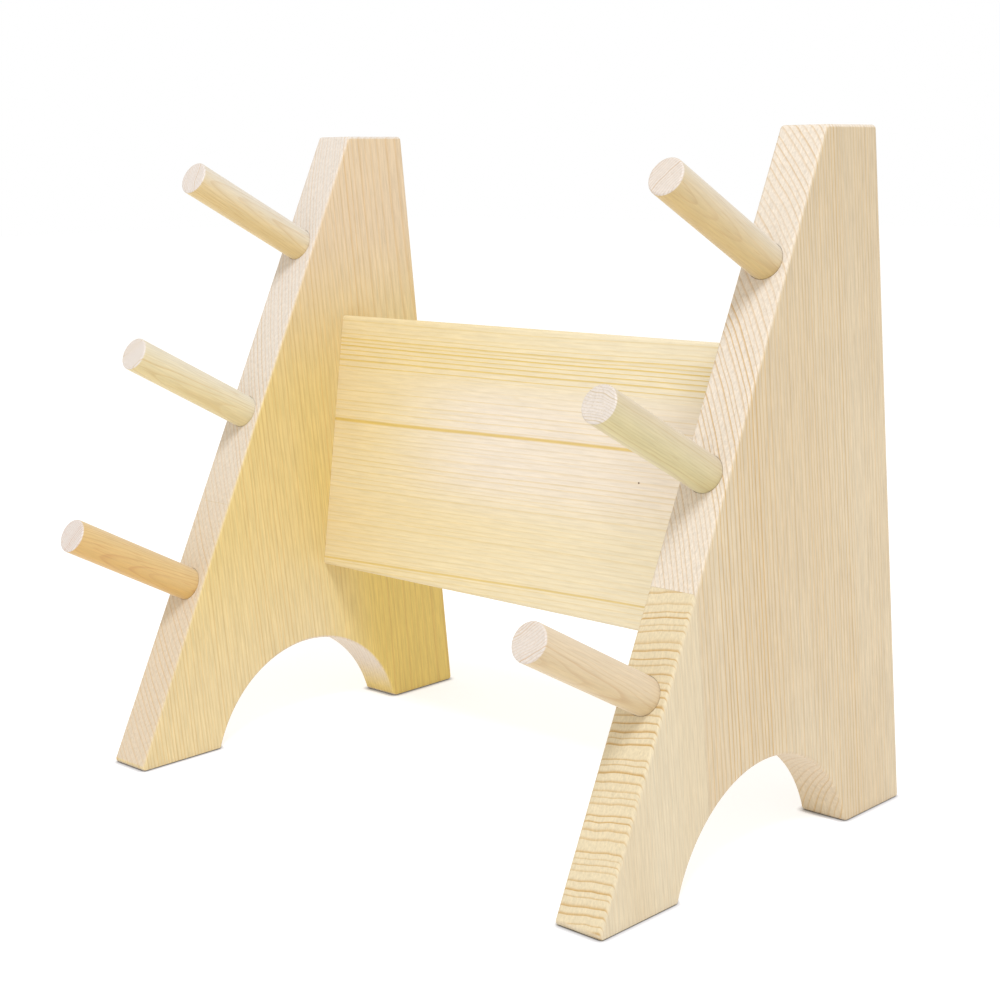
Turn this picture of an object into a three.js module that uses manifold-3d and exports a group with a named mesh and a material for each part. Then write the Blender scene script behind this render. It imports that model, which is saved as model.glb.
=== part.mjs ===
// A tabletop yarn stand: two solid wood side panels on arched feet, joined by
// one leaning cross board, with three upward-sloping pegs on the front edge of
// each panel.
//
// Frame: millimetres, +Z up, +X to the right along the cross board, and the
// pegs point towards -Y. The origin is the centre of the footprint's box, on
// the surface that the feet rest on. While the stand is being built, y = 0 is
// the back end of the feet; the whole group is moved at the end.

import * as THREE from "three";
import { mergeVertices } from "three/addons/utils/BufferGeometryUtils.js";
import Module from "manifold-3d";

const wasm = await Module();
wasm.setup();

// Driving dimensions

const PANEL_HEIGHT = 300;
const PANEL_THICKNESS = 23;
const BASE_DEPTH = 212;
const TOP_FRONT_INSET = 143.5;
const TOP_BACK_INSET = 31.5;
const OVERALL_WIDTH = 308;

const ARCH_FROM_BACK = 103.7;
const ARCH_RADIUS = 62.5;
const ARCH_RISE = 43.5;

const EDGE_RADIUS = 1.6;
const CORNER_RADIUS = 2;
const FIT_GAP = 0.3;

// The front stave of each panel is glued to its main board along a line
// parallel to the back edge, which meets the sloping front edge at this height.
const STAVE_JOINT_HEIGHT = 122;

const BOARD_HEIGHT = 129;
const BOARD_THICKNESS = 23;
const BOARD_LEAN = THREE.MathUtils.degToRad(7.8);
const BOARD_FRONT_FROM_BACK = 92.8;
const BOARD_BOTTOM_HEIGHT = 82;

const PEG_RADIUS = 8;
const PEG_REACH = 73.5;
const PEG_SEAT = 24;
const PEG_RIM_RADIUS = 1;
const PEG_RISE = THREE.MathUtils.degToRad(28);
const PEG_FIRST = 93;
const PEG_PITCH = 90;

const DOWEL_RADIUS = 4;
const DOWEL_LENGTH = 40;
const DOWEL_IN_PANEL = 14;
const DOWEL_CHAMFER = 1;
const DOWEL_PITCH = 45;

// Each panel has one peg and one dowel at each level, counted from the bottom.
const LEVELS = ["lower", "middle", "upper"];
const MIDDLE_LEVEL = 1;

const ROUND_SEGMENTS = 40;
const ARCH_SEGMENTS = 28;
const EDGE_SEGMENTS = 3;
const CORNER_SEGMENTS = 3;
const OVERCUT = 10;

// Pale sanded softwood, with one tone for each kind of piece.
const WOOD_ROUGHNESS = 0.62;
const WOOD = {
  panel_main: 0xe6d3b3,
  panel_front: 0xecdcc0,
  board: 0xecd5a6,
  peg: 0xe9d9b8,
  dowel: 0xd9c094,
};

function woodMaterial(color) {
  return new THREE.MeshStandardMaterial({ color, roughness: WOOD_ROUGHNESS, metalness: 0 });
}

// Turns a geometry with x, y, z as depth, height and width into the stand's
// own axes: outline x becomes Y, outline y becomes Z, extrusion becomes X.
const OUTLINE_TO_STAND = new THREE.Matrix4().makeBasis(
  new THREE.Vector3(0, 1, 0),
  new THREE.Vector3(0, 0, 1),
  new THREE.Vector3(1, 0, 0),
);

// Booleans

function toSolid(geometry) {
  const bare = geometry.clone();
  bare.deleteAttribute("normal");
  bare.deleteAttribute("uv");
  const welded = mergeVertices(bare);
  const mesh = new wasm.Mesh({
    numProp: 3,
    vertProperties: new Float32Array(welded.attributes.position.array),
    triVerts: new Uint32Array(welded.index.array),
  });
  return new wasm.Manifold(mesh);
}

function toGeometry(solid) {
  const mesh = solid.getMesh();
  const geometry = new THREE.BufferGeometry();
  geometry.setAttribute("position", new THREE.BufferAttribute(mesh.vertProperties, mesh.numProp));
  geometry.setIndex(new THREE.BufferAttribute(mesh.triVerts, 1));
  geometry.computeVertexNormals();
  return geometry;
}

function cut(geometry, cutters) {
  let solid = toSolid(geometry);
  for (const cutter of cutters) {
    solid = solid.subtract(toSolid(cutter));
  }
  return toGeometry(solid);
}

// Points on the side profile, as (depth, height) with depth along Y

const ORIGIN = new THREE.Vector2(0, 0);
const TOE = new THREE.Vector2(-BASE_DEPTH, 0);
const HEEL = new THREE.Vector2(0, 0);
const TOP_BACK = new THREE.Vector2(-TOP_BACK_INSET, PANEL_HEIGHT);
const TOP_FRONT = new THREE.Vector2(TOP_FRONT_INSET - BASE_DEPTH, PANEL_HEIGHT);
const FRONT_SLOPE = TOP_FRONT.clone().sub(TOE).normalize();
const BACK_SLOPE = TOP_BACK.clone().sub(HEEL).normalize();

function frontEdgeAtHeight(height) {
  return TOE.clone().addScaledVector(FRONT_SLOPE, height / FRONT_SLOPE.y);
}

// The points of a small arc that replaces one corner of an outline.
function easedCorner(before, corner, after) {
  const toBefore = before.clone().sub(corner).normalize();
  const toAfter = after.clone().sub(corner).normalize();
  const halfAngle = Math.acos(toBefore.dot(toAfter)) / 2;
  const inward = toBefore.clone().add(toAfter).normalize();
  const centre = corner.clone().addScaledVector(inward, CORNER_RADIUS / Math.sin(halfAngle));
  const tangent = CORNER_RADIUS / Math.tan(halfAngle);
  const start = corner.clone().addScaledVector(toBefore, tangent).sub(centre);
  const end = corner.clone().addScaledVector(toAfter, tangent).sub(centre);
  const turn = Math.sign(start.cross(end)) * (Math.PI - 2 * halfAngle);
  const points = [];
  for (let i = 0; i <= CORNER_SEGMENTS; i += 1) {
    points.push(start.clone().rotateAround(ORIGIN, (turn * i) / CORNER_SEGMENTS).add(centre));
  }
  return points;
}

// The side profile: a leaning trapezium with an arch cut up between its feet.
function panelOutline() {
  const centre = new THREE.Vector2(-ARCH_FROM_BACK, ARCH_RISE - ARCH_RADIUS);
  const halfSpan = Math.sqrt(ARCH_RADIUS ** 2 - centre.y ** 2);
  const archFront = new THREE.Vector2(centre.x - halfSpan, 0);
  const archBack = new THREE.Vector2(centre.x + halfSpan, 0);
  const endAngle = Math.atan2(-centre.y, halfSpan) + CORNER_RADIUS / ARCH_RADIUS;
  const arc = new THREE.EllipseCurve(
    centre.x,
    centre.y,
    ARCH_RADIUS,
    ARCH_RADIUS,
    Math.PI - endAngle,
    endAngle,
    true,
  ).getPoints(ARCH_SEGMENTS);
  return new THREE.Shape([
    ...easedCorner(TOP_FRONT, TOE, archFront),
    ...easedCorner(TOE, archFront, arc[0]),
    ...arc,
    ...easedCorner(arc[ARCH_SEGMENTS], archBack, HEEL),
    ...easedCorner(archBack, HEEL, TOP_BACK),
    ...easedCorner(HEEL, TOP_BACK, TOP_FRONT),
    ...easedCorner(TOP_BACK, TOP_FRONT, TOE),
  ]);
}

// The whole side panel before it is parted into staves and drilled, centred on
// x = 0, with every outer edge rounded over.
function panelBlank() {
  const geometry = new THREE.ExtrudeGeometry(panelOutline(), {
    depth: PANEL_THICKNESS - 2 * EDGE_RADIUS,
    bevelThickness: EDGE_RADIUS,
    bevelSize: EDGE_RADIUS,
    bevelOffset: -EDGE_RADIUS,
    bevelSegments: EDGE_SEGMENTS,
  });
  geometry.translate(0, 0, EDGE_RADIUS - PANEL_THICKNESS / 2);
  geometry.applyMatrix4(OUTLINE_TO_STAND);
  return geometry;
}

// A block that covers everything on one side of the glue line: side is -1 for
// the front of the line and +1 for the back of it.
function jointBlock(side) {
  const size = 2 * PANEL_HEIGHT;
  const block = new THREE.BoxGeometry(PANEL_THICKNESS + 2 * OVERCUT, size, size);
  const corner = frontEdgeAtHeight(STAVE_JOINT_HEIGHT);
  block.translate(0, side * (size / 2 - FIT_GAP / 2), 0);
  block.rotateX(Math.atan2(-BACK_SLOPE.x, BACK_SLOPE.y));
  block.translate(0, corner.x, corner.y);
  return block;
}

// Pegs

function pegBase(level) {
  return TOE.clone().addScaledVector(FRONT_SLOPE, PEG_FIRST + PEG_PITCH * level);
}

function placePegAxis(object, level) {
  const base = pegBase(level);
  object.rotation.x = Math.PI - PEG_RISE;
  object.position.set(0, base.x, base.y);
  object.updateMatrix();
}

function pegHole(level) {
  const radius = PEG_RADIUS + FIT_GAP;
  const depth = PEG_SEAT + FIT_GAP;
  const hole = new THREE.CylinderGeometry(radius, radius, depth + OVERCUT, ROUND_SEGMENTS);
  hole.translate(0, (OVERCUT - depth) / 2, 0);
  const place = new THREE.Object3D();
  placePegAxis(place, level);
  return hole.applyMatrix4(place.matrix);
}

function pegGeometry() {
  const profile = new THREE.Path();
  profile.moveTo(0, -PEG_SEAT);
  profile.lineTo(PEG_RADIUS, -PEG_SEAT);
  profile.lineTo(PEG_RADIUS, PEG_REACH - PEG_RIM_RADIUS);
  profile.quadraticCurveTo(PEG_RADIUS, PEG_REACH, PEG_RADIUS - PEG_RIM_RADIUS, PEG_REACH);
  profile.lineTo(0, PEG_REACH);
  return new THREE.LatheGeometry(profile.getPoints(EDGE_SEGMENTS), ROUND_SEGMENTS);
}

// Hidden dowels in the ends of the cross board

function boardCentre() {
  const across = new THREE.Vector2(Math.cos(BOARD_LEAN), -Math.sin(BOARD_LEAN));
  const up = new THREE.Vector2(Math.sin(BOARD_LEAN), Math.cos(BOARD_LEAN));
  return new THREE.Vector2(-BOARD_FRONT_FROM_BACK, BOARD_BOTTOM_HEIGHT)
    .addScaledVector(across, BOARD_THICKNESS / 2)
    .addScaledVector(up, BOARD_HEIGHT / 2);
}

function dowelCentre(level) {
  const up = new THREE.Vector2(Math.sin(BOARD_LEAN), Math.cos(BOARD_LEAN));
  return boardCentre().addScaledVector(up, DOWEL_PITCH * (level - MIDDLE_LEVEL));
}

const BOARD_END_X = OVERALL_WIDTH / 2 - PANEL_THICKNESS - FIT_GAP;
const PANEL_CENTRE_X = (OVERALL_WIDTH - PANEL_THICKNESS) / 2;
const PANEL_INNER_X = OVERALL_WIDTH / 2 - PANEL_THICKNESS;
const DOWEL_CENTRE_X = PANEL_INNER_X + DOWEL_IN_PANEL - DOWEL_LENGTH / 2;

// A hole for one dowel, long enough to leave the fitting gap at both ends.
function dowelHole(x, level) {
  const radius = DOWEL_RADIUS + FIT_GAP;
  const hole = new THREE.CylinderGeometry(
    radius,
    radius,
    DOWEL_LENGTH + 2 * FIT_GAP,
    ROUND_SEGMENTS,
  );
  const centre = dowelCentre(level);
  hole.rotateZ(Math.PI / 2);
  hole.translate(x, centre.x, centre.y);
  return hole;
}

function dowelGeometry() {
  const half = DOWEL_LENGTH / 2;
  const profile = [
    new THREE.Vector2(0, -half),
    new THREE.Vector2(DOWEL_RADIUS - DOWEL_CHAMFER, -half),
    new THREE.Vector2(DOWEL_RADIUS, DOWEL_CHAMFER - half),
    new THREE.Vector2(DOWEL_RADIUS, half - DOWEL_CHAMFER),
    new THREE.Vector2(DOWEL_RADIUS - DOWEL_CHAMFER, half),
    new THREE.Vector2(0, half),
  ];
  return new THREE.LatheGeometry(profile, ROUND_SEGMENTS);
}

// Cross board

function boardGeometry() {
  const x = BOARD_THICKNESS / 2;
  const y = BOARD_HEIGHT / 2;
  const shape = new THREE.Shape();
  shape.moveTo(-x, -y + EDGE_RADIUS);
  shape.absarc(-x + EDGE_RADIUS, -y + EDGE_RADIUS, EDGE_RADIUS, Math.PI, 1.5 * Math.PI);
  shape.absarc(x - EDGE_RADIUS, -y + EDGE_RADIUS, EDGE_RADIUS, 1.5 * Math.PI, 2 * Math.PI);
  shape.absarc(x - EDGE_RADIUS, y - EDGE_RADIUS, EDGE_RADIUS, 0, 0.5 * Math.PI);
  shape.absarc(-x + EDGE_RADIUS, y - EDGE_RADIUS, EDGE_RADIUS, 0.5 * Math.PI, Math.PI);
  shape.closePath();
  const geometry = new THREE.ExtrudeGeometry(shape, {
    depth: 2 * BOARD_END_X,
    bevelEnabled: false,
    curveSegments: EDGE_SEGMENTS + 1,
  });
  geometry.translate(0, 0, -BOARD_END_X);
  geometry.applyMatrix4(OUTLINE_TO_STAND);
  geometry.rotateX(-BOARD_LEAN);
  const centre = boardCentre();
  geometry.translate(0, centre.x, centre.y);
  const holes = LEVELS.flatMap((name, level) => [
    dowelHole(-DOWEL_CENTRE_X, level),
    dowelHole(DOWEL_CENTRE_X, level),
  ]);
  return cut(geometry, holes);
}

// Assembly

function namedMesh(name, geometry, color) {
  const mesh = new THREE.Mesh(geometry, woodMaterial(color));
  mesh.name = name;
  return mesh;
}

// One side panel with its pegs and dowels. handed is -1 on the left, +1 on the
// right; the dowels enter from the inner face.
function sideAssembly(side, handed) {
  const group = new THREE.Group();
  group.position.x = handed * PANEL_CENTRE_X;
  const dowelX = handed * (DOWEL_CENTRE_X - PANEL_CENTRE_X);
  const pegHoles = LEVELS.map((name, level) => pegHole(level));
  const dowelHoles = LEVELS.map((name, level) => dowelHole(dowelX, level));
  const blank = panelBlank();
  const mainBoard = cut(blank, [jointBlock(-1), ...pegHoles, ...dowelHoles]);
  const frontStave = cut(blank, [jointBlock(1), ...pegHoles]);
  group.add(namedMesh(`${side}_panel_main_board`, mainBoard, WOOD.panel_main));
  group.add(namedMesh(`${side}_panel_front_stave`, frontStave, WOOD.panel_front));
  LEVELS.forEach((name, level) => {
    const peg = namedMesh(`${side}_peg_${name}`, pegGeometry(), WOOD.peg);
    placePegAxis(peg, level);
    group.add(peg);
    const dowel = namedMesh(`${side}_dowel_${name}`, dowelGeometry(), WOOD.dowel);
    const centre = dowelCentre(level);
    dowel.rotation.z = Math.PI / 2;
    dowel.position.set(dowelX, centre.x, centre.y);
    group.add(dowel);
  });
  return group;
}

const stand = new THREE.Group();
stand.add(sideAssembly("left", -1));
stand.add(sideAssembly("right", 1));
stand.add(namedMesh("cross_board", boardGeometry(), WOOD.board));

// Puts the origin at the centre of the whole stand's box, at its foot.
const box = new THREE.Box3().setFromObject(stand, true);
stand.position.y = -(box.min.y + box.max.y) / 2;
stand.updateMatrixWorld(true);

export default stand;
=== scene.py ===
"""A tabletop wooden yarn stand: its boards, pegs and dowels built over the CAD frame.

Lengths that describe the object are in millimetres and are turned into metres
where vertices are made. Profile points are (depth, height): depth runs along +Y
from the back end of the feet, so it is negative on the stand.
"""

import math

import bmesh
import bpy
from mathutils import Matrix, Vector

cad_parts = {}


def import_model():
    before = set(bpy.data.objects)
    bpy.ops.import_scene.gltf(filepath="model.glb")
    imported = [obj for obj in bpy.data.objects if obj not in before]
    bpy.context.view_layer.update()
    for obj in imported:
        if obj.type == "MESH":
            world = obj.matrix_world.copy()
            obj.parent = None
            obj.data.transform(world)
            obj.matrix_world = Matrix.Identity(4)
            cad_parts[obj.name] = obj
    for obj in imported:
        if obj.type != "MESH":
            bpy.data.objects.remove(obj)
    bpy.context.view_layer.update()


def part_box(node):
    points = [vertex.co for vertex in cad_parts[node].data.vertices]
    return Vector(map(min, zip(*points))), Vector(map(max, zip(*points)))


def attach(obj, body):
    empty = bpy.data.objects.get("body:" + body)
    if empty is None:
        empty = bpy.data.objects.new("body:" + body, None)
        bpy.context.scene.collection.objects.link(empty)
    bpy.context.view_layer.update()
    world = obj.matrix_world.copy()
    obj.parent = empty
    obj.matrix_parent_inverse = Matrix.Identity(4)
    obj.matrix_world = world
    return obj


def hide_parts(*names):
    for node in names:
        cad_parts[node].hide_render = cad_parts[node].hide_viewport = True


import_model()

MM = 0.001

# Panel profile, as in the CAD part

PANEL_HEIGHT = 300
BASE_DEPTH = 212
TOP_FRONT_INSET = 143.5
TOP_BACK_INSET = 31.5
ARCH_FROM_BACK = 103.7
ARCH_RADIUS = 62.5
ARCH_RISE = 43.5
STAVE_JOINT_HEIGHT = 122
CORNER_RADIUS = 2

# Sanded edges, left crisper round the underside of the feet

EDGE_RADIUS = 1.6
FOOT_EDGE_SHARE = 0.4
TIGHTEST_CORNER = 0.15
EDGE_STEPS = 6
CORNER_STEPS = 8
ARCH_STEPS = 72
SHARP_ANGLE = math.radians(30)

# Gaps that are left where pieces meet: tight glue lines and snug sockets

GLUE_GAP = 0.05
SOCKET_GAP = 0.16

BOARD_HEIGHT = 129
BOARD_LEAN = math.radians(7.8)
BOARD_THICKNESS = 23
BOARD_FRONT_FROM_BACK = 92.8
BOARD_BOTTOM_HEIGHT = 82
BOARD_STEPS = 8

PEG_RADIUS = 8
PEG_REACH = 73.5
PEG_SEAT = 24
PEG_RISE = math.radians(28)
PEG_FIRST = 93
PEG_PITCH = 90
PEG_RIM = 0.9
PEG_RIM_STEPS = 5
PEG_SEAT_CHAMFER = 1
PEG_RING_PLACES = range(-18, 70, 8)
PEG_SIDES = 72
LEVELS = ("lower", "middle", "upper")
MIDDLE_LEVEL = 1

DOWEL_RADIUS = 4
DOWEL_LENGTH = 40
DOWEL_CHAMFER = 1
DOWEL_PITCH = 45
DOWEL_RING_PLACES = range(-18, 19, 4)
DOWEL_SIDES = 96
DOWEL_FLUTES = 16
FLUTE_DEPTH = 0.25

OVERCUT = 10


# ---------------------------------------------------------------- profile

TOE = Vector((-BASE_DEPTH, 0))
HEEL = Vector((0, 0))
TOP_BACK = Vector((-TOP_BACK_INSET, PANEL_HEIGHT))
TOP_FRONT = Vector((TOP_FRONT_INSET - BASE_DEPTH, PANEL_HEIGHT))
FRONT_SLOPE = (TOP_FRONT - TOE).normalized()
BACK_SLOPE = (TOP_BACK - HEEL).normalized()
ARCH_CENTRE = Vector((-ARCH_FROM_BACK, ARCH_RISE - ARCH_RADIUS))
JOINT = TOE + FRONT_SLOPE * (STAVE_JOINT_HEIGHT / FRONT_SLOPE.y)

main_low, main_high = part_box("right_panel_main_board")
panel_thickness = (main_high.x - main_low.x) / MM
panel_centre_x = (main_low.x + main_high.x) / 2 / MM
# The CAD heel is eased, so the sharp corner that depths start from lies just behind it.
heel_ease = CORNER_RADIUS * ((1 - BACK_SLOPE.x) / BACK_SLOPE.y - 1)
heel_y = main_high.y / MM + heel_ease


def place(x, profile_point):
    """A point in metres in the row frame, from x and a profile point in millimetres."""
    return Vector((x, heel_y + profile_point[0], profile_point[1])) * MM


def left_of(direction):
    return Vector((-direction.y, direction.x))


def cross_lines(point_a, along_a, point_b, along_b):
    normal = left_of(along_b)
    return point_a + along_a * ((point_b - point_a).dot(normal) / along_a.dot(normal))


def eased(before, corner, after, radius):
    """Points that round off a corner, from the side of before to the side of after."""
    to_before = (before - corner).normalized()
    to_after = (after - corner).normalized()
    half = math.acos(max(-1, min(1, to_before.dot(to_after)))) / 2
    centre = corner + (to_before + to_after).normalized() * (radius / math.sin(half))
    spoke = corner + to_before * (radius / math.tan(half)) - centre
    end = corner + to_after * (radius / math.tan(half)) - centre
    turn = math.copysign(math.pi - 2 * half, left_of(spoke).dot(end))
    return [
        centre + Matrix.Rotation(turn * i / CORNER_STEPS, 2) @ spoke
        for i in range(CORNER_STEPS + 1)
    ]


def arch_point(angle, radius):
    return ARCH_CENTRE + Vector((math.cos(angle), math.sin(angle))) * radius


def arch_angle_on_line(point, along, radius):
    """The angle at which the arch meets a line on the front side of its crown."""
    offset = point - ARCH_CENTRE
    middle = offset.dot(along)
    reach = math.sqrt(radius**2 - offset.length_squared + middle**2)
    hit = offset + along * (reach - middle)
    other = offset - along * (reach + middle)
    hit = hit if hit.y > other.y else other
    return math.atan2(hit.y, hit.x)


def inset_lines(inset):
    """The sides of the profile moved inwards, each as a point and a direction."""
    floor = inset * FOOT_EDGE_SHARE
    return {
        "front": (TOE - left_of(FRONT_SLOPE) * inset, FRONT_SLOPE),
        "top": (Vector((0, PANEL_HEIGHT - inset)), Vector((1, 0))),
        "back": (HEEL + left_of(BACK_SLOPE) * inset, BACK_SLOPE),
        "foot": (Vector((0, floor)), Vector((1, 0))),
    }


def foot_end(inset, side):
    """Where the arch comes down to the underside of a foot: side is -1 in front, 1 behind."""
    radius = ARCH_RADIUS + inset
    drop = inset * FOOT_EDGE_SHARE - ARCH_CENTRE.y
    return ARCH_CENTRE + Vector((side * math.sqrt(radius**2 - drop**2), drop))


def arch_run(inset, start, end):
    radius = ARCH_RADIUS + inset
    return [
        arch_point(start + (end - start) * i / ARCH_STEPS, radius)
        for i in range(ARCH_STEPS + 1)
    ]


def corner_radius(inset):
    return max(CORNER_RADIUS - inset, TIGHTEST_CORNER)


def joint_ends(inset, side):
    """The glue line's two ends: on the front slope, and as an angle on the arch."""
    point = JOINT + left_of(BACK_SLOPE) * (-side * GLUE_GAP / 2)
    lines = inset_lines(inset)
    on_front = cross_lines(*lines["front"], point, BACK_SLOPE)
    on_arch = arch_angle_on_line(point, BACK_SLOPE, ARCH_RADIUS + inset)
    return on_front, on_arch


def main_board_ring(inset):
    """From the glue line up and round the back of the panel to the glue line's foot."""
    lines = inset_lines(inset)
    top_front = cross_lines(*lines["front"], *lines["top"])
    top_back = cross_lines(*lines["back"], *lines["top"])
    heel = cross_lines(*lines["back"], *lines["foot"])
    inner = foot_end(inset, 1)
    start, joint_angle = joint_ends(inset, 1)
    radius = corner_radius(inset)
    angle = math.atan2(inner.y - ARCH_CENTRE.y, inner.x - ARCH_CENTRE.x)
    arch = arch_run(inset, angle + 2 * radius / ARCH_RADIUS, joint_angle)
    return [
        start,
        *eased(start, top_front, top_back, radius),
        *eased(top_front, top_back, heel, radius),
        *eased(top_back, heel, inner, radius),
        *eased(heel, inner, arch[0], radius),
        *arch,
    ]


def front_stave_ring(inset):
    """From the glue line down and round the toe to the glue line's foot."""
    lines = inset_lines(inset)
    toe = cross_lines(*lines["front"], *lines["foot"])
    inner = foot_end(inset, -1)
    start, joint_angle = joint_ends(inset, -1)
    radius = corner_radius(inset)
    angle = math.atan2(inner.y - ARCH_CENTRE.y, inner.x - ARCH_CENTRE.x)
    arch = arch_run(inset, angle - 2 * radius / ARCH_RADIUS, joint_angle)
    return [
        start,
        *eased(start, toe, inner, radius),
        *eased(toe, inner, arch[0], radius),
        *arch,
    ]


# ---------------------------------------------------------------- meshes


def new_object(name, bm):
    bmesh.ops.recalc_face_normals(bm, faces=bm.faces)
    mesh = bpy.data.meshes.new(name)
    bm.to_mesh(mesh)
    bm.free()
    piece = bpy.data.objects.new(name, mesh)
    bpy.context.scene.collection.objects.link(piece)
    return piece


def bridge(bm, loop_a, loop_b, closed):
    count = len(loop_a)
    for i in range(count if closed else count - 1):
        j = (i + 1) % count
        bm.faces.new((loop_a[i], loop_a[j], loop_b[j], loop_b[i]))


def panel_piece(name, ring, x_centre):
    """A board of one panel: rings from face to face, rounded over at both arrises."""
    sections = []
    for i in range(EDGE_STEPS + 1):
        turn = math.pi / 2 * i / EDGE_STEPS
        inset = EDGE_RADIUS * (1 - math.sin(turn))
        out = panel_thickness / 2 - EDGE_RADIUS * (1 - math.cos(turn))
        sections.append((inset, out))
    sections += [(inset, -out) for inset, out in reversed(sections)]
    bm = bmesh.new()
    loops = []
    for inset, out in sections:
        loops.append([bm.verts.new(place(x_centre + out, p)) for p in ring(inset)])
    for loop_a, loop_b in zip(loops, loops[1:]):
        bridge(bm, loop_a, loop_b, closed=False)
    bm.faces.new(loops[0])
    bm.faces.new(loops[-1])
    bm.faces.new([loop[0] for loop in loops] + [loop[-1] for loop in reversed(loops)])
    return new_object(name, bm)


def lathe(name, profile, origin, axis, sides, flutes=0):
    """A turned piece: profile is (radius, distance along the axis) in millimetres."""
    across = axis.orthogonal().normalized()
    other = axis.cross(across)
    bm = bmesh.new()
    loops = []
    for radius, along in profile:
        loop = []
        for i in range(sides):
            turn = 2 * math.pi * i / sides
            groove = FLUTE_DEPTH * max(0, math.cos(flutes * turn)) if flutes else 0
            out = across * math.cos(turn) + other * math.sin(turn)
            loop.append(bm.verts.new(origin + (axis * along + out * (radius - groove)) * MM))
        loops.append(loop)
    for loop_a, loop_b in zip(loops, loops[1:]):
        bridge(bm, loop_a, loop_b, closed=True)
    bm.faces.new(loops[0])
    bm.faces.new(loops[-1])
    return new_object(name, bm)


def rounded_rectangle(width, height, radius):
    points = []
    corners = ((1, 1, 0), (-1, 1, 1), (-1, -1, 2), (1, -1, 3))
    for sign_x, sign_y, quarter in corners:
        centre = Vector((sign_x * (width / 2 - radius), sign_y * (height / 2 - radius)))
        for i in range(EDGE_STEPS + 1):
            turn = math.pi / 2 * (quarter + i / EDGE_STEPS)
            points.append(centre + Vector((math.cos(turn), math.sin(turn))) * radius)
    return points


def drill(piece, holes):
    """Bores each hole, an (origin, axis, radius, depth) whose axis points out of the wood."""
    for origin, axis, radius, depth in holes:
        profile = ((radius, -depth), (radius, OVERCUT))
        cutter = lathe("cutter", profile, origin, axis, PEG_SIDES)
        cut = piece.modifiers.new("cut", "BOOLEAN")
        cut.object = cutter
        cut.operation = "DIFFERENCE"
        cut.solver = "EXACT"
        bpy.context.view_layer.objects.active = piece
        bpy.ops.object.modifier_apply(modifier=cut.name)
        bpy.data.objects.remove(cutter)


def finish_shading(piece):
    """Smooth rounded edges that leave the flat faces flat."""
    mesh = piece.data
    mesh.shade_smooth()
    mesh.set_sharp_from_angle(angle=SHARP_ANGLE)
    weighted = piece.modifiers.new("flat_faces", "WEIGHTED_NORMAL")
    weighted.keep_sharp = True


# ---------------------------------------------------------------- wood

PANEL_ALONG = Vector((0, BACK_SLOPE.x, BACK_SLOPE.y))
PANEL_ACROSS = Vector((0, BACK_SLOPE.y, -BACK_SLOPE.x))

# How far a surface is turned towards the grain's end, and how far up it faces,
# each as the range over which the tone changes. The upward one is painted light:
# a paler top side, where light from above falls.
END_GRAIN = (0.15, 0.6)
PAINTED_TOP_LIGHT = (-0.9, 0.9)

# Noise frequencies per millimetre, across, through and along the board
SEED_OFFSET = (17.3, 31.7, 53.9)
WAVE_SCALE = (0.012, 0.012, 0.0035)
RIPPLE_SCALE = (0.11, 0.11, 0.022)
FIBRE_SCALE = (1.1, 1.1, 0.07)
STREAK_SCALE = (1.9, 1.9, 0.09)
BLOTCH_SCALE = (0.03, 0.03, 0.007)
UNEVEN_SCALE = 0.37

# Late wood darkens slowly through each ring and ends sharply
LATE_RISE = (0.35, 0.92)
LATE_SHARPNESS = 3.0
LATE_FALL = (0.93, 1.0)
FAINTEST_RING = 0.4
DARK_RING_CORE = 0.2
PIN_KNOT_CORE = 0.5
STREAK_RANGE = (0.69, 0.78)
BLOTCH_RANGE = (0.35, 0.65)

ROUGHNESS = 0.5
FIBRE_ROUGHNESS = 0.16
LATE_ROUGHNESS = -0.1
SHEEN_ROUGHNESS = 0.4
LATE_RELIEF = 0.5
RELIEF_STRENGTH = 0.25
RELIEF_DEPTH = 0.1 * MM

# What a board's look is where its own doesn't say: amounts of ring waviness in
# millimetres, then strengths from 0 to 1
COMMON_LOOK = {
    "uneven": 0.8, "wave": 8.0, "ripple": 0.9, "taper": 0.0,
    "fibre": 0.34, "streak": 0.12, "specular": 0.4, "sheen": 0.1,
    "dark_rings": (), "zones": (), "end_zones": (),
}


class Nodes:
    """Short calls for the nodes that a wood material is made of."""

    def __init__(self, tree):
        self.tree = tree

    def add(self, kind, inputs=(), output=0, **settings):
        node = self.tree.nodes.new(kind)
        for name, value in settings.items():
            setattr(node, name, value)
        for name, value in dict(inputs).items():
            if isinstance(value, bpy.types.NodeSocket):
                self.tree.links.new(value, node.inputs[name])
            elif value is not None:
                node.inputs[name].default_value = value
        return node.outputs[output]

    def math(self, operation, a, b=None, c=None, clamp=False):
        values = {0: a, 1: b, 2: c}
        return self.add("ShaderNodeMath", values, operation=operation, use_clamp=clamp)

    def vector(self, operation, a, b=None, output=0):
        return self.add("ShaderNodeVectorMath", {0: a, 1: b}, output, operation=operation)

    def noise(self, vector, scale=1.0, detail=2.0, roughness=0.5, output=0):
        inputs = {"Vector": vector, "Scale": scale, "Detail": detail, "Roughness": roughness}
        return self.add("ShaderNodeTexNoise", inputs, output)

    def step(self, value, low, high, to_low=0.0, to_high=1.0):
        inputs = {0: value, 1: low, 2: high, 3: to_low, 4: to_high}
        return self.add("ShaderNodeMapRange", inputs, interpolation_type="SMOOTHSTEP")

    def mix(self, share, a, b, blend="MIX"):
        inputs = {0: share, 6: a, 7: b}
        return self.add("ShaderNodeMix", inputs, 2, data_type="RGBA", blend_type=blend)

    def ramp(self, value, stops):
        node = self.tree.nodes.new("ShaderNodeValToRGB")
        ramp = node.color_ramp
        ramp.interpolation = "LINEAR"
        while len(ramp.elements) < len(stops):
            ramp.elements.new(1.0)
        for element, (position, grey) in zip(ramp.elements, stops):
            element.position = position
            element.color = (grey, grey, grey, 1)
        self.tree.links.new(value, node.inputs[0])
        return node.outputs[0]


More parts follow.
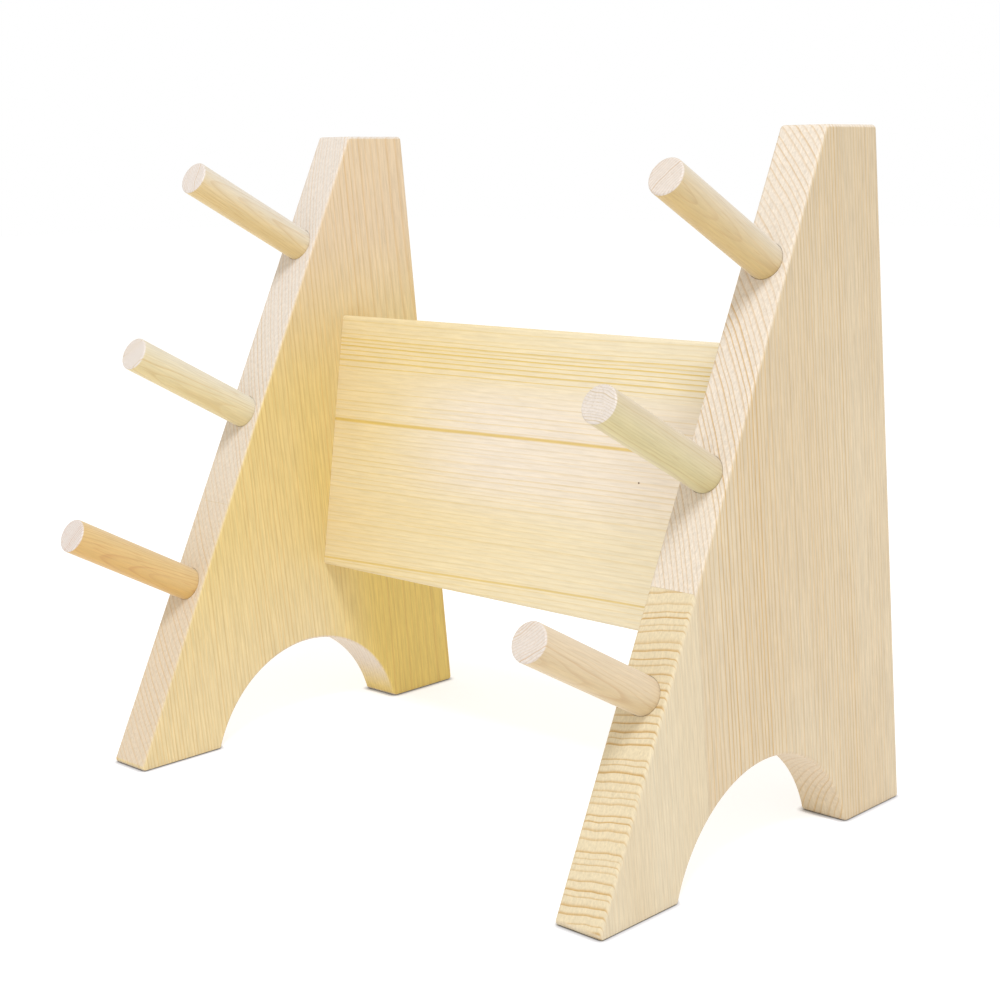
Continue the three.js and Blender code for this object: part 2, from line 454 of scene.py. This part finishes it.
def growth_rings():
    """A group that turns a point in a board, in millimetres, into its place in the tree.

    The group's frame has Z along the grain. Late is how dark the late wood is at the
    point, and Radius is its distance from the pith. Fibre, Streak and Blotch are fine
    lines, short dashes and large soft patches that run with the grain.
    """
    tree = bpy.data.node_groups.new("growth_rings", "ShaderNodeTree")
    interface = tree.interface
    interface.new_socket("Point", in_out="INPUT", socket_type="NodeSocketVector")
    interface.new_socket("Pith", in_out="INPUT", socket_type="NodeSocketVector")
    for name in ("Ring Width", "Uneven", "Wave", "Ripple", "Taper", "Seed"):
        interface.new_socket(name, in_out="INPUT", socket_type="NodeSocketFloat")
    for name in ("Late", "Radius", "Fibre", "Streak", "Blotch"):
        interface.new_socket(name, in_out="OUTPUT", socket_type="NodeSocketFloat")
    n = Nodes(tree)
    given = tree.nodes.new("NodeGroupInput").outputs
    seed = n.add("ShaderNodeCombineXYZ", {0: given["Seed"], 1: given["Seed"], 2: given["Seed"]})
    own = n.vector("ADD", given["Point"], n.vector("MULTIPLY", seed, SEED_OFFSET))

    def warp(stretch, amount):
        coarse = n.noise(n.vector("MULTIPLY", own, stretch), detail=1.0, output=1)
        centred = n.vector("SUBTRACT", coarse, (0.5, 0.5, 0.5))
        share = n.add("ShaderNodeCombineXYZ", {0: amount, 1: amount})
        return n.vector("MULTIPLY", centred, share)

    moved = n.vector("SUBTRACT", given["Point"], given["Pith"])
    moved = n.vector("ADD", moved, warp(WAVE_SCALE, given["Wave"]))
    moved = n.vector("ADD", moved, warp(RIPPLE_SCALE, given["Ripple"]))
    flat = n.vector("MULTIPLY", moved, (1, 1, 0))
    lift = n.add("ShaderNodeSeparateXYZ", {0: given["Point"]}, 2)
    radius = n.math("ADD", n.vector("LENGTH", flat, output=1),
                    n.math("MULTIPLY", lift, given["Taper"]))
    count = n.math("DIVIDE", radius, given["Ring Width"])
    beat = n.add("ShaderNodeTexNoise", {"W": n.math("ADD", count, given["Seed"]),
                 "Scale": UNEVEN_SCALE, "Detail": 1.0}, noise_dimensions="1D")
    spread = n.math("MULTIPLY", n.math("SUBTRACT", beat, 0.5), given["Uneven"])
    ring = n.math("ADD", count, spread)
    within = n.math("FRACT", ring)
    number = n.math("ADD", n.math("FLOOR", ring), given["Seed"])
    luck = n.add("ShaderNodeTexWhiteNoise", {"W": number}, noise_dimensions="1D")
    rise = n.math("POWER", n.step(within, *LATE_RISE), LATE_SHARPNESS)
    fall = n.step(within, *LATE_FALL, 1.0, 0.0)
    strength = n.math("MULTIPLY_ADD", luck, 1 - FAINTEST_RING, FAINTEST_RING)
    late = n.math("MULTIPLY", n.math("MULTIPLY", rise, fall), strength)
    fibre = n.noise(n.vector("MULTIPLY", own, FIBRE_SCALE), detail=3.0, roughness=0.7)
    dash = n.noise(n.vector("MULTIPLY", own, STREAK_SCALE), detail=0.0)
    streak = n.step(dash, *STREAK_RANGE)
    blotch = n.noise(n.vector("MULTIPLY", own, BLOTCH_SCALE), detail=2.0)
    result = tree.nodes.new("NodeGroupOutput").inputs
    for name, value in (("Late", late), ("Radius", radius), ("Fibre", fibre),
                        ("Streak", streak), ("Blotch", blotch)):
        tree.links.new(value, result[name])
    return tree


RINGS = growth_rings()


def linear(red, green, blue):
    """A colour from its usual 0 to 255 display values."""
    def one(value):
        value /= 255
        return value / 12.92 if value <= 0.04045 else ((value + 0.055) / 1.055) ** 2.4
    return (one(red), one(green), one(blue), 1.0)


def board_point(n, origin, along, across, look):
    """The shaded point in its board's own frame, in millimetres."""
    turned = Matrix((across, along.cross(across), along)).transposed().to_euler()
    place_in_row = n.add("ShaderNodeTexCoord", output=3)
    point = n.add("ShaderNodeMapping", {"Vector": place_in_row, "Location": origin,
                  "Rotation": turned, "Scale": (MM, MM, MM)}, vector_type="TEXTURE")
    return lean_rings(n, point, *look["lean"]) if "lean" in look else point


def rings_at(n, point, look):
    inputs = {"Point": point, "Pith": (*look["pith"], 0), "Ring Width": look["ring"],
              "Uneven": look["uneven"], "Wave": look["wave"], "Ripple": look["ripple"],
              "Taper": look["taper"], "Seed": look["seed"]}
    return n.add("ShaderNodeGroup", inputs, node_tree=RINGS).node.outputs


def late_wood(n, late, radius, end, look):
    """How dark the rings are, by the board's bands and its few dark rings."""
    low, high, stops = look["bands"]
    place_in_tree = n.add("ShaderNodeMapRange", {0: radius, 1: low, 2: high})
    face_lines, end_lines = look["lines"]
    contrast = n.math("MULTIPLY_ADD", end, end_lines - face_lines, face_lines)
    late = n.math("MULTIPLY", late, n.ramp(place_in_tree, stops))
    late = n.math("MULTIPLY", late, contrast)
    for distance, width, depth in look["dark_rings"]:
        away = n.math("ABSOLUTE", n.math("SUBTRACT", radius, distance))
        core = width * DARK_RING_CORE
        late = n.math("MAXIMUM", late, n.step(away, core, width, depth, 0.0))
    return late


def early_wood(n, point, normal, end, blotch, look):
    """The colour between the rings: by zone on a face, some zones being painted shade and bounce
    light, then paler on the upper side where a top tone is given, as painted light from above, and
    by its own zones on an end.
    """
    color = n.mix(n.step(blotch, *BLOTCH_RANGE), look["early"], look["tint"])
    for share, tone in look["zones"]:
        color = n.mix(share(n, point), color, tone)
    # Painted light: the side that faces up is mixed towards the paler top tone, as if lit from
    # above.
    if "top" in look:
        upward = n.add("ShaderNodeSeparateXYZ", {0: normal}, 2)
        color = n.mix(n.step(upward, *PAINTED_TOP_LIGHT), color, look["top"])
    end_color = look["end"]
    for share, tone in look["end_zones"]:
        end_color = n.mix(share(n, point), end_color, tone)
    return n.mix(end, color, end_color)


def wood(name, origin, along, across, look):
    """A sanded softwood whose rings run through the whole board.

    origin is in metres, and the board's frame has X across its width, Y through
    its thickness and Z along the grain.
    """
    look = {**COMMON_LOOK, **look}
    material = bpy.data.materials.new(name)
    material.use_nodes = True
    links = material.node_tree.links
    shader = material.node_tree.nodes["Principled BSDF"]
    n = Nodes(material.node_tree)
    point = board_point(n, origin, along, across, look)
    late, radius, fibre, streak, blotch = rings_at(n, point, look)

    # How squarely the surface cuts across the grain: 0 on a face, 1 on an end
    normal = n.add("ShaderNodeTexCoord", output=1)
    square = n.math("ABSOLUTE", n.vector("DOT_PRODUCT", normal, tuple(along), output=1))
    end = n.step(square, *END_GRAIN)

    late = late_wood(n, late, radius, end, look)
    color = n.mix(late, early_wood(n, point, normal, end, blotch, look), look["late"])
    grey = n.math("MULTIPLY_ADD", n.math("SUBTRACT", fibre, 0.5), look["fibre"], 1.0)
    color = n.vector("MULTIPLY", color, n.add("ShaderNodeCombineXYZ", {0: grey, 1: grey, 2: grey}))
    color = n.mix(n.math("MULTIPLY", streak, look["streak"]), color, look["late"])
    if "pin_knot" in look:
        color = pin_knot(n, point, color, *look["pin_knot"])
    links.new(color, shader.inputs["Base Color"])

    rough = n.math("MULTIPLY_ADD", fibre, FIBRE_ROUGHNESS, ROUGHNESS)
    rough = n.math("MULTIPLY_ADD", late, LATE_ROUGHNESS, rough)
    links.new(rough, shader.inputs["Roughness"])
    shader.inputs["Specular IOR Level"].default_value = look["specular"]
    shader.inputs["Sheen Weight"].default_value = look["sheen"]
    shader.inputs["Sheen Roughness"].default_value = SHEEN_ROUGHNESS
    relief = n.math("MULTIPLY_ADD", late, LATE_RELIEF, fibre)
    bump = n.add("ShaderNodeBump", {"Height": relief, "Strength": RELIEF_STRENGTH,
                 "Distance": RELIEF_DEPTH})
    links.new(bump, shader.inputs["Normal"])
    return material


def lean_rings(n, point, slope, fade_across):
    """Lets the grain run out of square with the board, most at its X = 0 edge."""
    across, deep, along = point_parts(n, point)
    lean = n.add("ShaderNodeMapRange", {0: across, 1: 0, 2: fade_across, 3: -slope, 4: 0})
    across = n.math("MULTIPLY_ADD", along, lean, across)
    return n.add("ShaderNodeCombineXYZ", {0: across, 1: deep, 2: along})


def point_parts(n, point):
    return n.add("ShaderNodeSeparateXYZ", {0: point}).node.outputs


def pin_knot(n, point, color, across, along, radius, tone):
    """A small dark knot that runs straight through the board."""
    x, _, z = point_parts(n, point)
    away = n.vector("DISTANCE", n.add("ShaderNodeCombineXYZ", {0: x, 1: z}),
                    (across, along, 0), output=1)
    return n.mix(n.step(away, radius * PIN_KNOT_CORE, radius, 1.0, 0.0), color, tone)


def zone(*ranges):
    """Part of a board: along each (axis, low, high), 0 on the low side and 1 on the high one."""
    def share(n, point):
        parts = point_parts(n, point)
        total = None
        for axis, low, high in ranges:
            step = n.step(parts[axis], low, high)
            total = step if total is None else n.math("MULTIPLY", total, step)
        return total
    return share


def place_piece(piece, nodes, material):
    """Gives a piece its material and smooth shading, hangs it on the root body and hides the CAD
    nodes that it stands for.
    """
    piece.data.materials.clear()
    piece.data.materials.append(material)
    finish_shading(piece)
    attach(piece, "root")
    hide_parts(*nodes)


# ---------------------------------------------------------------- pegs and dowels


def peg_base(level):
    return TOE + FRONT_SLOPE * (PEG_FIRST + PEG_PITCH * level)


PEG_AXIS = Vector((0, -math.cos(PEG_RISE), math.sin(PEG_RISE)))
BOARD_UP = Vector((math.sin(BOARD_LEAN), math.cos(BOARD_LEAN)))
BOARD_BACKWARD = Vector((math.cos(BOARD_LEAN), -math.sin(BOARD_LEAN)))
BOARD_CENTRE = (
    Vector((-BOARD_FRONT_FROM_BACK, BOARD_BOTTOM_HEIGHT))
    + BOARD_BACKWARD * (BOARD_THICKNESS / 2)
    + BOARD_UP * (BOARD_HEIGHT / 2)
)


def peg_hole(x, level):
    return place(x, peg_base(level)), PEG_AXIS, PEG_RADIUS + SOCKET_GAP, PEG_SEAT + SOCKET_GAP


def dowel_point(x, level):
    return place(x, BOARD_CENTRE + BOARD_UP * (DOWEL_PITCH * (level - MIDDLE_LEVEL)))


def dowel_hole(x, level, outward):
    depth = DOWEL_LENGTH / 2 + SOCKET_GAP
    return dowel_point(x, level), Vector((outward, 0, 0)), DOWEL_RADIUS + SOCKET_GAP, depth


def rim(radius, end, size, steps):
    """Profile points that round a turned piece's end, from its side to its end face."""
    points = []
    for i in range(steps + 1):
        turn = math.pi / 2 * i / steps
        points.append((radius - size * (1 - math.cos(turn)), end - size * (1 - math.sin(turn))))
    return points


def peg_profile():
    chamfer = PEG_SEAT_CHAMFER
    seat = [(PEG_RADIUS - chamfer, -PEG_SEAT), (PEG_RADIUS, chamfer - PEG_SEAT)]
    shaft = [(PEG_RADIUS, along) for along in PEG_RING_PLACES]
    return seat + shaft + rim(PEG_RADIUS, PEG_REACH, PEG_RIM, PEG_RIM_STEPS)


def dowel_profile():
    half = DOWEL_LENGTH / 2
    chamfer = DOWEL_CHAMFER
    shaft = [(DOWEL_RADIUS, along) for along in DOWEL_RING_PLACES]
    return [(DOWEL_RADIUS - chamfer, -half), (DOWEL_RADIUS, chamfer - half), *shaft,
            (DOWEL_RADIUS, half - chamfer), (DOWEL_RADIUS - chamfer, half)]


# ---------------------------------------------------------------- looks of each board

# pith is where the tree's centre lies, across and through the board, and ring is the
# width of a growth ring, in millimetres. lines is how dark the late wood is on a face
# and on an end. bands is two distances from the pith and the strength of the rings at
# steps between them. dark_rings are single rings, each as its distance from the pith,
# its width and its darkness. lean is the grain's slope at one edge of the board and the
# width over which it fades. pin_knot is its place across and along, radius and colour.
# zones and end_zones are tones for parts of the faces and of the ends, some of them
# painted shade and bounce light, and top is the tone of the upper side, a painted
# light from above. Colours are display values.

ALL_RINGS = ((0.0, 1.0), (1.0, 1.0))
ACROSS, DEEP, ALONG = range(3)

LEFT_PANEL = {
    "pith": (225, -105), "ring": 1.9, "seed": 12.3, "wave": 7.0, "ripple": 0.5,
    "lines": (0.85, 0.8), "fibre": 0.55,
    "bands": (90, 260, ((0.0, 0.6), (0.2, 0.5), (0.4, 0.7), (0.6, 0.6), (1.0, 0.55))),
    "early": linear(215, 193, 134), "tint": linear(214, 191, 126),
    "end": linear(206, 190, 168), "end_zones": (
        (zone((ALONG, 60, 200)), linear(211, 203, 194)),
        (zone((ACROSS, 90, 110), (ALONG, 60, 50)), linear(214, 200, 182)),
    ), "late": linear(194, 150, 80),
    "zones": (
        # The first and last zones make the face paler low down and high up, so it is yellowest in
        # its middle: partly a yellower board, partly painted warm bounce light from the cross
        # board.
        (zone((ALONG, 120, 20)), linear(212, 193, 148)),
        # Painted shade: behind and below the cross board the face turns a deeper, warmer yellow,
        # where the board's shadow falls.
        (zone((ACROSS, 115, 165), (ALONG, 150, 90)), linear(219, 192, 108)),
        (zone((ALONG, 150, 245)), linear(210, 189, 158)),
    ),
}

LOOKS = {
    "right_panel_main_board": {
        "pith": (-18, 106), "ring": 1.8, "seed": 3.1, "wave": 6.0, "ripple": 0.5,
        "lines": (1.0, 0.9), "fibre": 0.6,
        "bands": (100, 250, ((0.0, 0.5), (0.3, 0.6), (0.38, 1.0), (0.52, 1.0), (0.58, 0.6),
                             (0.68, 0.55), (0.74, 0.8), (0.86, 0.7), (0.9, 0.4), (1.0, 0.5))),
        "early": linear(204, 188, 159), "tint": linear(201, 183, 152),
        "end": linear(214, 203, 188), "late": linear(187, 148, 84),
        "end_zones": (
            (zone((ACROSS, 90, 110), (ALONG, 60, 50)), linear(208, 190, 162)),
        ),
        "zones": (
            (zone((ALONG, 120, 290)), linear(197, 180, 151)),
        ),
    },
    "right_panel_front_stave": {
        "pith": (600, 47), "ring": 1.67, "seed": 7.7, "uneven": 1.4, "wave": 5.0, "ripple": 0.8,
        "lines": (0.2, 1.0), "fibre": 0.5,
        "bands": (0, 1000, ALL_RINGS),
        "early": linear(208, 194, 165), "tint": linear(206, 190, 159),
        "end": linear(211, 196, 163), "late": linear(180, 140, 72),
    },
    "left_panel_main_board": LEFT_PANEL,
    "left_panel_front_stave": LEFT_PANEL,
    "cross_board": {
        "pith": (-250, 60), "ring": 2.5, "seed": 21.9, "wave": 5.0, "ripple": 0.6, "uneven": 1.6,
        "lines": (1.0, 0.9), "lean": (0.033, 115),
        "bands": (250, 385, ((0.0, 0.3), (0.09, 0.3), (0.38, 0.3), (0.42, 0.5), (0.5, 0.3),
                             (0.56, 0.3), (0.62, 0.4), (0.66, 0.45), (0.71, 0.12), (0.79, 0.15),
                             (0.82, 1.0), (0.92, 1.0), (0.94, 0.3), (1.0, 0.3))),
        "dark_rings": ((332, 1.3, 0.75), (261, 0.8, 0.6), (371, 0.5, 0.5), (362, 0.6, 0.6),
                       (347, 0.4, 0.3)),
        "early": linear(221, 204, 162), "tint": linear(220, 201, 156),
        "end": linear(220, 205, 176), "late": linear(204, 170, 62),
        "zones": (
            # Painted bounce light and shade: the board is warmer and yellower at its left end, in
            # the corner against the left panel, and paler towards the right.
            (zone((ALONG, 20, 240)), linear(221, 209, 180)),
            (zone((ALONG, 20, 120), (ACROSS, 30, 60), (ACROSS, 112, 85)), linear(222, 210, 192)),
        ),
        "pin_knot": (62, 201, 0.6, linear(96, 66, 40)),
    },
}


# Each peg's top tone is painted light: the side that faces up is paler and greyer, as where light
# from above falls.
PEG_LOOKS = {
    "left_peg_lower": {"pith": (58, -34), "taper": 0.06,
                       "early": linear(206, 165, 86), "tint": linear(203, 160, 80),
                       "top": linear(210, 184, 134), "late": linear(178, 120, 58)},
    "left_peg_middle": {"pith": (-48, 48), "taper": -0.03,
                        "early": linear(215, 198, 147), "tint": linear(214, 195, 139),
                        "top": linear(214, 208, 190), "late": linear(190, 158, 96)},
    "left_peg_upper": {"pith": (66, 6), "taper": 0.05,
                       "early": linear(212, 186, 126), "tint": linear(210, 181, 116),
                       "top": linear(210, 203, 190), "late": linear(182, 142, 74)},
    "right_peg_lower": {"pith": (-44, 50), "taper": 0.05,
                        "early": linear(200, 176, 131), "tint": linear(198, 172, 124),
                        "top": linear(206, 188, 160), "late": linear(180, 143, 95)},
    "right_peg_middle": {"pith": (-8, -66),
                         "early": linear(197, 185, 134), "tint": linear(198, 182, 127),
                         "top": linear(195, 180, 151), "late": linear(172, 147, 94)},
    "right_peg_upper": {"pith": (56, -38), "taper": -0.05,
                        "early": linear(197, 171, 112), "tint": linear(196, 166, 103),
                        "top": linear(199, 190, 172), "late": linear(174, 135, 80)},
}
PEG_SHARED = {"ring": 1.15, "wave": 9.0, "ripple": 2.2, "uneven": 0.6, "lines": (0.5, 0.75),
              "bands": (0, 100, ALL_RINGS), "fibre": 0.4, "streak": 0.3, "sheen": 0.4,
              "specular": 0.9}
PEG_END = {"left": linear(208, 200, 194), "right": linear(205, 195, 185)}
PEG_FIRST_SEED = 31.7
PEG_SEED_STEP = 5
DOWEL_FIRST_SEED = 55.1
DOWEL_LOOK = {"pith": (22, 9), "ring": 0.9, "lines": (0.5, 0.8), "bands": (0, 60, ALL_RINGS),
              "early": linear(218, 198, 162), "tint": linear(214, 190, 150),
              "end": linear(214, 196, 170), "late": linear(190, 154, 106)}


# ---------------------------------------------------------------- build

for side, handed in (("left", -1), ("right", 1)):
    x = handed * panel_centre_x
    peg_holes = [peg_hole(x, level) for level in range(len(LEVELS))]
    dowel_low, dowel_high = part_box(f"{side}_dowel_lower")
    dowel_x = (dowel_low.x + dowel_high.x) / 2 / MM
    dowel_holes = [dowel_hole(dowel_x, level, -handed) for level in range(len(LEVELS))]
    for part, ring in (("main_board", main_board_ring), ("front_stave", front_stave_ring)):
        node = f"{side}_panel_{part}"
        piece = panel_piece(node + "_wood", ring, x)
        drill(piece, peg_holes + (dowel_holes if part == "main_board" else []))
        place_piece(piece, [node],
                    wood(node, place(x, TOE), PANEL_ALONG, PANEL_ACROSS, LOOKS[node]))
    for level, level_name in enumerate(LEVELS):
        node = f"{side}_peg_{level_name}"
        origin = place(x, peg_base(level))
        piece = lathe(node + "_wood", peg_profile(), origin, PEG_AXIS, PEG_SIDES)
        look = {**PEG_SHARED, **PEG_LOOKS[node], "end": PEG_END[side],
                "seed": PEG_FIRST_SEED + PEG_SEED_STEP * level + handed}
        place_piece(piece, [node],
                    wood(node, origin, PEG_AXIS, Vector((1, 0, 0)), look))
        node = f"{side}_dowel_{level_name}"
        origin = dowel_point(dowel_x, level)
        piece = lathe(node + "_wood", dowel_profile(), origin, Vector((1, 0, 0)),
                      DOWEL_SIDES, DOWEL_FLUTES)
        look = {**DOWEL_LOOK, "seed": DOWEL_FIRST_SEED + level + handed}
        place_piece(piece, [node],
                    wood(node, origin, Vector((1, 0, 0)), Vector((0, 0, 1)), look))


def cross_board():
    half = panel_centre_x - panel_thickness / 2 - GLUE_GAP
    outline = rounded_rectangle(BOARD_THICKNESS, BOARD_HEIGHT, EDGE_RADIUS)
    bm = bmesh.new()
    loops = []
    for i in range(BOARD_STEPS + 1):
        x = half * (2 * i / BOARD_STEPS - 1)
        loops.append([
            bm.verts.new(place(x, BOARD_CENTRE + BOARD_BACKWARD * p.x + BOARD_UP * p.y))
            for p in outline
        ])
    for loop_a, loop_b in zip(loops, loops[1:]):
        bridge(bm, loop_a, loop_b, closed=True)
    bm.faces.new(loops[0])
    bm.faces.new(loops[-1])
    piece = new_object("cross_board_wood", bm)
    low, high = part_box("right_dowel_lower")
    dowel_x = (low.x + high.x) / 2 / MM
    drill(piece, [
        dowel_hole(handed * dowel_x, level, handed)
        for handed in (-1, 1)
        for level in range(len(LEVELS))
    ])
    front = BOARD_CENTRE - BOARD_BACKWARD * (BOARD_THICKNESS / 2)
    origin = place(-half, front - BOARD_UP * (BOARD_HEIGHT / 2))
    up = Vector((0, BOARD_UP.x, BOARD_UP.y))
    place_piece(piece, ["cross_board"],
                wood("cross_board", origin, Vector((1, 0, 0)), up, LOOKS["cross_board"]))


cross_board()


# ---------------------------------------------------------------- stage, light and camera

# In metres. The camera was fitted to the edges of the boards and the pegs in the photo.
CAMERA_PLACE = Vector((0.56033, -0.57627, 0.28716))
CAMERA_FORWARD = Vector((-0.680812, 0.714044, -0.163207))
CAMERA_RIGHT = Vector((0.725058, 0.688584, -0.011947))
FOCAL_LENGTH = 64.94
SENSOR_WIDTH = 36
CAMERA_SHIFT = (0.0156, -0.0410)
NEAREST_SEEN = 0.01

# The camera sees a plain white room, and the stand is lit by a slightly warmer one
ROOM_LIGHT = (0.85, 0.80, 0.715)
FLOOR_GAP = 0.0001
FLOOR_SIZE = 6
FLOOR_GRID = 8
FLOOR_COLOR = (0.5, 0.5, 0.52)
FLOOR_ROUGHNESS = 0.9
FLOOR_GLOW = 0.66
# The floor's glow is dimmed by occlusion close to the feet: a painted contact shadow.
CONTACT_SHADOW_WIDTH = 0.003
CONTACT_SHADOW_DARKNESS = 2.2
KEY_DISTANCE = 2.2
KEY_FROM = Vector((0.39, -0.385, 0.835)) * KEY_DISTANCE
KEY_AIM = Vector((0, 0, 0.12))
KEY_SIZE = 0.6
KEY_POWER = 25
KEY_TINT = (0.93, 1.0, 1.13)


def camera():
    data = bpy.data.cameras.new("camera")
    data.sensor_width = SENSOR_WIDTH
    data.lens = FOCAL_LENGTH
    data.shift_x, data.shift_y = CAMERA_SHIFT
    data.clip_start = NEAREST_SEEN
    item = bpy.data.objects.new("camera", data)
    bpy.context.scene.collection.objects.link(item)
    back = -CAMERA_FORWARD.normalized()
    right = CAMERA_RIGHT.normalized()
    up = back.cross(right)
    turned = Matrix((right, up, back)).transposed().to_4x4()
    item.matrix_world = Matrix.Translation(CAMERA_PLACE) @ turned
    bpy.context.scene.camera = item


def key_light():
    data = bpy.data.lights.new("key", "AREA")
    data.shape = "DISK"
    data.size = KEY_SIZE
    data.energy = KEY_POWER
    data.color = KEY_TINT
    item = bpy.data.objects.new("key", data)
    item.location = KEY_FROM
    item.rotation_euler = (KEY_AIM - KEY_FROM).to_track_quat("-Z", "Y").to_euler()
    bpy.context.scene.collection.objects.link(item)


def floor():
    """A plain white floor whose glow is dimmed only in the crevice under the feet: a painted
    contact shadow.
    """
    bm = bmesh.new()
    bmesh.ops.create_grid(bm, x_segments=FLOOR_GRID, y_segments=FLOOR_GRID, size=FLOOR_SIZE)
    item = new_object("floor", bm)
    item.location.z = -FLOOR_GAP
    material = bpy.data.materials.new("floor")
    material.use_nodes = True
    n = Nodes(material.node_tree)
    shader = material.node_tree.nodes["Principled BSDF"]
    # Painted contact shadow: occlusion within this distance of the feet dims the glow.
    open_air = n.add("ShaderNodeAmbientOcclusion", {"Distance": CONTACT_SHADOW_WIDTH}, output=1)
    glow = n.math("MULTIPLY", n.math("POWER", open_air, CONTACT_SHADOW_DARKNESS), FLOOR_GLOW)
    material.node_tree.links.new(glow, shader.inputs["Emission Strength"])
    shader.inputs["Emission Color"].default_value = (1, 1, 1, 1)
    shader.inputs["Base Color"].default_value = (*FLOOR_COLOR, 1)
    shader.inputs["Roughness"].default_value = FLOOR_ROUGHNESS
    shader.inputs["Specular IOR Level"].default_value = 0
    item.data.materials.append(material)


def world():
    """A room that looks plain white behind the stand and lights it a little more warmly."""
    item = bpy.data.worlds.new("studio")
    item.use_nodes = True
    n = Nodes(item.node_tree)
    seen = n.add("ShaderNodeLightPath")
    color = n.mix(seen, (*ROOM_LIGHT, 1), (1, 1, 1, 1))
    item.node_tree.links.new(color, item.node_tree.nodes["Background"].inputs["Color"])
    bpy.context.scene.world = item


camera()
floor()
world()
key_light()
bpy.context.scene.view_settings.view_transform = "Standard"
